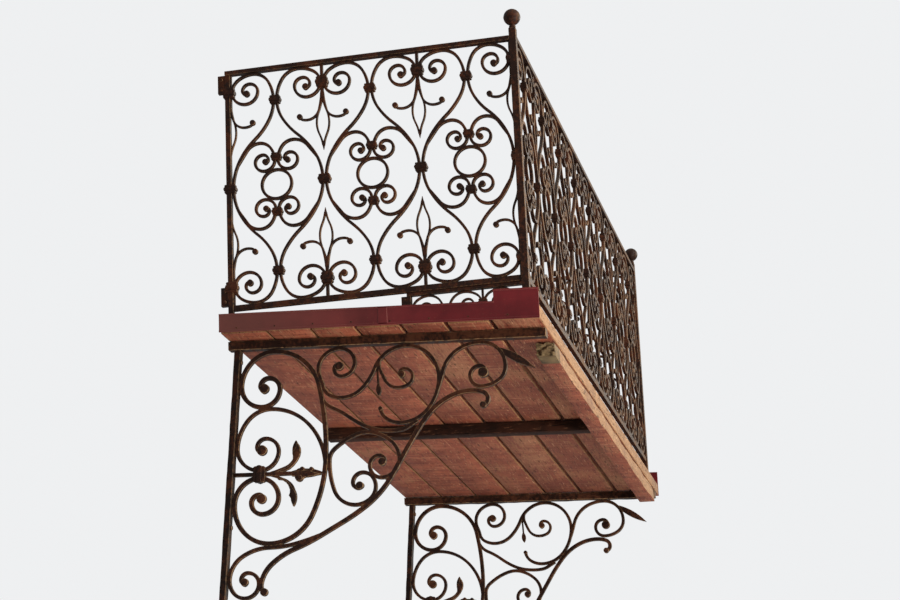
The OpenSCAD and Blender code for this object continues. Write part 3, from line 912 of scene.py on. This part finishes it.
def ball_steps(top):
    """The radii and heights of the neck, the ball with its seam, and the tip."""
    steps = [(radius, top + rise) for radius, rise in NECK]
    centre = top + BALL_HIGH
    for degrees in BALL_DEGREES:
        turn = math.radians(degrees)
        proud = SEAM if degrees == 0 else 0
        radius = BALL_RADIUS * math.cos(turn) + proud
        steps.append((radius, centre + BALL_RADIUS * math.sin(turn)))
    return steps + [(TIP_RADIUS, centre + BALL_RADIUS)]


def tapered_shoulder(x, y, top):
    """A small block on the post's end, whose top is narrower than its foot."""
    low = (x - SHOULDER_HALF, y - SHOULDER_HALF, top + SHOULDER_LOW)
    high = (x + SHOULDER_HALF, y + SHOULDER_HALF, top + SHOULDER_HIGH)
    shoulder = block("shoulder", low, high)
    edit_faces(shoulder, lambda face: face.normal.z > 0.9)
    bpy.ops.transform.resize(value=(TAPER, TAPER, 1), center_override=(x, y, top))
    bpy.ops.object.mode_set(mode="OBJECT")
    paint(shoulder, *IRON["railing"])
    rounded(shoulder, 0.0015, 2, 1)
    return shoulder


for side, sign in SIDES.items():
    post_low, post_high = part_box(f"corner_post_{side}")
    top = post_high[2]
    middle = ((post_low[0] + post_high[0]) / 2, (post_low[1] + post_high[1]) / 2)
    ball = turned_piece(f"ball_{side}_turned", middle, ball_steps(top))
    paint(ball, *IRON["railing"])
    smooth(ball, 50)
    ball = joined(f"ball_{side}_turned", [ball, tapered_shoulder(*middle, top)])
    settle(ball, "wrought_iron", f"ball_{side}")
print("two balls")

# %% [markdown]
# ## Painted wood
# The deck is laid from boards that run its long way, painted a dull red brown that has
# weathered along the grain. All its noises are stretched along the board. The same recipe
# gives the dark, cracked middle beam and the bare edge timber, from other colours. A number on
# each board's points gives it its own shade.

# %% Wood finishes
ALONG = (1, 26, 26)


def wood_finish(name, tones, wear, way=ALONG, cracks=0.5, dashes=0.8, shine=0.2, sawn=0.0):
    """Tones are the paint, the faded paint, the bare wood, the old stain and the cracks."""
    painted, faded, bare, stained, split = [colour(code) for code in tones]
    finish = Finish(name)
    board = finish.add("ShaderNodeAttribute", {"attribute_name": "board"}, {}, "Fac")
    place = finish.place()
    grain = finish.noise(finish.place(way), 5, 5, 0.6)
    fibre = finish.noise(finish.place([6 * side for side in way]), 3, 2)
    chip = finish.noise(finish.place([2.5 * side ** 0.7 for side in way]), 7, 3, 0.7)
    dash = finish.noise(finish.place([side ** 0.8 for side in way]), 17, 2)
    patch = finish.noise(place, 3.2, 4, 0.6)
    blot = finish.noise(place, 11, 3)
    gone = finish.between(patch * 0.5 + grain * 0.5 + board * 0.1, wear, wear + 0.13)
    tone = finish.blend(finish.between(blot, 0.35, 0.7), painted, faded)
    tone = finish.blend(board * 0.45, tone, stained)
    if sawn:
        saw = finish.noise(finish.place([max(way) / side for side in way]), 2, 4, 0.65)
        tone = finish.blend(finish.between(saw, 0.5, 0.36) * sawn, tone, stained)
        tone = finish.blend(finish.between(saw, 0.56, 0.68) * sawn * 0.6, tone, bare)
    tone = finish.blend(finish.between(patch, 0.62, 0.4) * 0.3, tone, stained)
    tone = finish.blend(gone * 0.75, tone, finish.blend(grain, bare, stained))
    tone = finish.blend(finish.between(chip, 0.6, 0.68) * 0.7, tone, bare)
    tone = finish.blend(finish.between(dash, 0.41, 0.33) * dashes, tone, split)
    crack = finish.between(fibre * 0.5 + grain * 0.5, 0.4, 0.33)
    tone = finish.blend(crack * cracks, tone, split)
    height = grain * 0.6 + fibre * 0.3 - gone * 0.25 - crack * 0.6
    return finish.set(
        Base_Color=tone,
        Specular_IOR_Level=shine,
        Roughness=0.7 + 0.2 * gone,
        Normal=finish.bump(height, 0.003, 0.7),
    )


BOARD_TONES = ("#955039", "#7c3c2b", "#bd8e6c", "#5a2b1e", "#1c100c")
EDGE_TONES = ("#6e3c2c", "#5a3024", "#b48a5e", "#482519", "#1c100c")
BEAM_TONES = ("#32190f", "#1f0f09", "#6e4c37", "#140a06", "#080403")
TIMBER_TONES = ("#937253", "#775840", "#ab8a69", "#5a3d29", "#24160e")
BROKEN_TONES = ("#6e5a3e", "#4c3b26", "#93805c", "#33271a", "#120c08")
OUTWARDS, SHORT_OUTWARDS = (26, 1, 26), (14, 1, 14)
painted_boards = wood_finish("painted_boards", BOARD_TONES, 0.54, sawn=0.6)
board_edges = wood_finish("board_edges", EDGE_TONES, 0.42)
painted_beam = wood_finish("painted_beam", BEAM_TONES, 0.58, OUTWARDS, 0.9, 0.9, 0.08)
worn_timber = wood_finish("worn_timber", TIMBER_TONES, 0.45, cracks=0.8)
broken_timber = wood_finish("broken_timber", BROKEN_TONES, 0.5, SHORT_OUTWARDS, 0.9)
print("five wood finishes")

# %% [markdown]
# ## Deck boards
# Seven wide boards lie side by side. Each is a little different in width, height and length,
# and bows a little, and the gaps have opened towards the front, where the wet gets in. They
# are laid level and then let fall outwards. Nail heads stand over the beam and both brackets.

# %% Deck boards
# how far out each gap between two boards lies, and how wide it has opened
GAPS = (
    (1.050, 0.017), (0.878, 0.016), (0.705, 0.011),
    (0.530, 0.009), (0.360, 0.007), (0.185, 0.006),
)
BOARD_PARTS = 8
DECK_NAIL_RADIUS, DECK_NAIL_DEPTH = 0.0055, 0.006


def level_box(node):
    """A node's corners with the fall of the deck taken out."""
    return corners([Vector((p.x, p.y, p.z - FALL * p.y)) for p in points_of(node)])


def let_fall(thing):
    for vertex in thing.data.vertices:
        vertex.co.z += FALL * vertex.co.y


def shade_number(thing, value):
    """Gives a whole piece its own shade in the finish."""
    layer = thing.data.attributes.new("board", "FLOAT", "POINT")
    for item in layer.data:
        item.value = value


deck_low, deck_high = level_box("deck")
fronts = [deck_low.y] + [gap / 2 - out for out, gap in GAPS]
backs = [-gap / 2 - out for out, gap in GAPS] + [deck_high.y - 0.001]
boards, nails = [], []
for i, (front, back) in enumerate(zip(fronts, backs)):
    start, under = chance.uniform(0.001, 0.02), chance.uniform(0, 0.004)
    end, above = chance.uniform(0.001, 0.02), chance.uniform(0, 0.003)
    low = (deck_low.x + start, front, deck_low.z + under)
    high = (deck_high.x - end, back, deck_high.z - above)
    board = block(f"board_{i}", low, high)
    crosscut(board, evenly(deck_low.x, deck_high.x, BOARD_PARTS))
    bow = chance.uniform(-0.002, 0.002) if 0 < i < len(GAPS) else 0
    for vertex in board.data.vertices:
        share = (vertex.co.x - low[0]) / (high[0] - low[0])
        vertex.co.y += bow * math.sin(math.pi * share)
    paint(board, painted_boards, board_edges, worn_timber)
    if i == 0:
        for face in board.data.polygons:
            if face.normal.y < -0.9:
                face.material_index = 2
    rounded(board, 0.004, 2, 1)
    shade_number(board, chance.random())
    boards.append(board)
    for x in (-BRACKET_X, 0, BRACKET_X):
        for share in (0.25, 0.75):
            astray = chance.uniform(-0.006, 0.006)
            place = (x + astray, low[1] + share * (high[1] - low[1]), high[2] - 0.002)
            nail = roll_at(Matrix(), "railing", place, DECK_NAIL_RADIUS, DECK_NAIL_DEPTH)
            nails.append(nail)
deck_boards = joined("deck_boards", boards)
let_fall(deck_boards)
settle(deck_boards, "painted_boards", "deck")
deck_nails = joined("deck_nails", nails)
let_fall(deck_nails)
settle(deck_nails, "wrought_iron")
print("laid", len(boards), "boards with", len(nails), "nails,")
print("which have", len(deck_boards.data.polygons), "faces without the nails")

# %% [markdown]
# ## Beams
# The middle beam is planed and painted, and long since dull and cracked. The edge timber under
# the front boards is bare in front, keeps the deck's paint underneath, and its near end has
# broken off: that end is divided, and its points are pushed in unevenly to leave splinters.

# %% Beams
BEAM_PARTS = 24


def beam(node, name, share, *finishes):
    """A worn block in a node's place, laid level."""
    low, high = level_box(node)
    thing = block(name, low, high)
    length = high - low
    along = max(range(3), key=lambda axis: length[axis])
    crosscut(thing, evenly(low[along], high[along], BEAM_PARTS), along)
    worn_down(thing, along, share)
    paint(thing, *finishes)
    return thing


def finish_beam(thing, slot, node):
    rounded(thing, 0.003)
    let_fall(thing)
    shade_number(thing, 0.3)
    settle(thing, slot, node)
    print(thing.name, len(thing.data.polygons), "faces")


middle_beam = beam("middle_beam", "middle_beam_planed", 0.08, painted_beam)
finish_beam(middle_beam, "painted_beam", "middle_beam")

SPLINTER, SPLINTER_CUTS = 0.02, 6
timber_finishes = (worn_timber, painted_boards, broken_timber)
edge_timber = beam("edge_timber", "edge_timber_worn", 0.16, *timber_finishes)
end_x = min(vertex.co.x for vertex in edge_timber.data.vertices) + 0.001
work = edit_faces(edge_timber, lambda face: face.normal.x < -0.9)
for face in work.faces:
    if face.normal.z < -0.7:
        face.material_index = 1
    if min(vertex.co.x for vertex in face.verts) < end_x:
        face.material_index = 2
bpy.ops.mesh.subdivide(number_cuts=SPLINTER_CUTS)
bpy.ops.object.mode_set(mode="OBJECT")
for vertex in edge_timber.data.vertices:
    if vertex.co.x < end_x:
        vertex.co.x += chance.uniform(0, SPLINTER)
finish_beam(edge_timber, "worn_timber", "edge_timber")

# %% [markdown]
# ## Painted sheet metal
# Thin sheet closes the ends of the deck. The paint is a deep red, dusty towards the back, with
# rust specks and dents that show in the gloss. The sheet is folded over at its edges, laps
# over itself once, and is nailed along the fold. The copy of the node is made a little
# thinner, so that folds and nails stay inside its place.

# %% Sheet metal
def sheet_finish(name, dark, light, shine):
    finish = Finish(name)
    place = finish.place()
    cloud = finish.noise(place, 5, 3)
    dent = finish.noise(finish.place((1, 5, 14)), 3, 2)
    speck = finish.noise(place, 130, 3, 0.7)
    dusty = finish.between(place.part("Y") + cloud * 0.3, -0.75, 0.25)
    tone = finish.blend(finish.between(cloud, 0.3, 0.7), colour(dark), colour(light))
    tone = finish.blend(dusty * 0.6, tone, colour("#654038"))
    tone = finish.blend(finish.between(speck, 0.66, 0.74) * 0.8, tone, colour("#6f4733"))
    return finish.set(
        Base_Color=tone,
        Specular_IOR_Level=0.18,
        Roughness=shine + 0.25 * dusty,
        Normal=finish.bump(cloud * 0.6 + dent * 0.5 + speck * 0.04, 0.005, 0.5),
    )


FOLD = 0.0014
FOLD_WIDE, CAP_FOLD_WIDE = 0.008, 0.006
CAP_LONG, SIDE_HIGH = 0.172, 0.073
LAP = (-0.66, -0.625)
TRIM_NAILS, FIRST_NAIL, NAIL_STEP, NAIL_HIGH = 8, -0.07, 0.15, 0.016
TRIM_NAIL_RADIUS, TRIM_NAIL_DEPTH = 0.0032, 0.0016
sheet = sheet_finish("painted_sheet", "#40080c", "#5c1519", 0.34)
sheet_edge = sheet_finish("sheet_edge", "#6a3330", "#86524a", 0.45)


def fold_strip(sign, y_from, y_to, z_from, z_to):
    """A strip of folded sheet on the outer face of a trim, in level measures."""
    outer = sign * trim_out
    inner = sign * (trim_out - 2 * FOLD)
    low = (min(outer, inner), y_from, z_from)
    high = (max(outer, inner), y_to, z_to)
    strip = block("fold", low, high)
    paint(strip, sheet, sheet_edge)
    rounded(strip, 0.0006, 1, 1)
    return strip


for side, sign in SIDES.items():
    trim_low, trim_high = level_box(f"trim_{side}")
    trim_out = max(abs(trim_low.x), abs(trim_high.x))
    front, seat = trim_low.y, trim_low.y + CAP_LONG
    low_z, top_z, cap_z = trim_low.z, trim_low.z + SIDE_HIGH, trim_high.z
    trim = copy_of(f"trim_{side}", f"trim_{side}_folded")
    for vertex in trim.data.vertices:
        if abs(vertex.co.x) > trim_out - 0.0005:
            vertex.co.x -= sign * FOLD
    paint(trim, sheet, sheet_edge)
    rounded(trim, 0.0006, 1, 1)
    strips = [
        fold_strip(sign, front, 0, low_z, low_z + FOLD_WIDE),
        fold_strip(sign, seat, 0, top_z - CAP_FOLD_WIDE, top_z),
        fold_strip(sign, front, seat, cap_z - CAP_FOLD_WIDE, cap_z),
        fold_strip(sign, *LAP, low_z + 0.004, top_z - 0.003),
    ]
    for k in range(TRIM_NAILS):
        head = (sign * (trim_out - 0.0012), FIRST_NAIL - NAIL_STEP * k, low_z + NAIL_HIGH)
        stand = drawing(head, Vector((0, -sign, 0)), UP)
        place = (0, chance.uniform(-0.002, 0.002), 0)
        nail = roll_at(stand, "railing", place, TRIM_NAIL_RADIUS, TRIM_NAIL_DEPTH)
        strips.append(nail)
    for strip in strips:
        let_fall(strip)
    trim = joined(f"trim_{side}_folded", [trim] + strips)
    settle(trim, "sheet_metal", f"trim_{side}")
    print(trim.name, len(trim.data.polygons), "faces")

# %% [markdown]
# ## Clearing up
# The models of collars and rolls have served and would otherwise show in the middle of the
# deck. The floor takes a dull pale finish that mirrors no lamp.

# %% Away with the models of fittings
for model in (*collars.values(), *rolls.values()):
    bpy.data.objects.remove(model)

# %% Floor finish
floor_finish = Finish("pale_floor")
paint(floor, floor_finish.set(Base_Color=colour("#d8d6d2"), Roughness=0.9))
print("the floor is", floor.active_material.name)
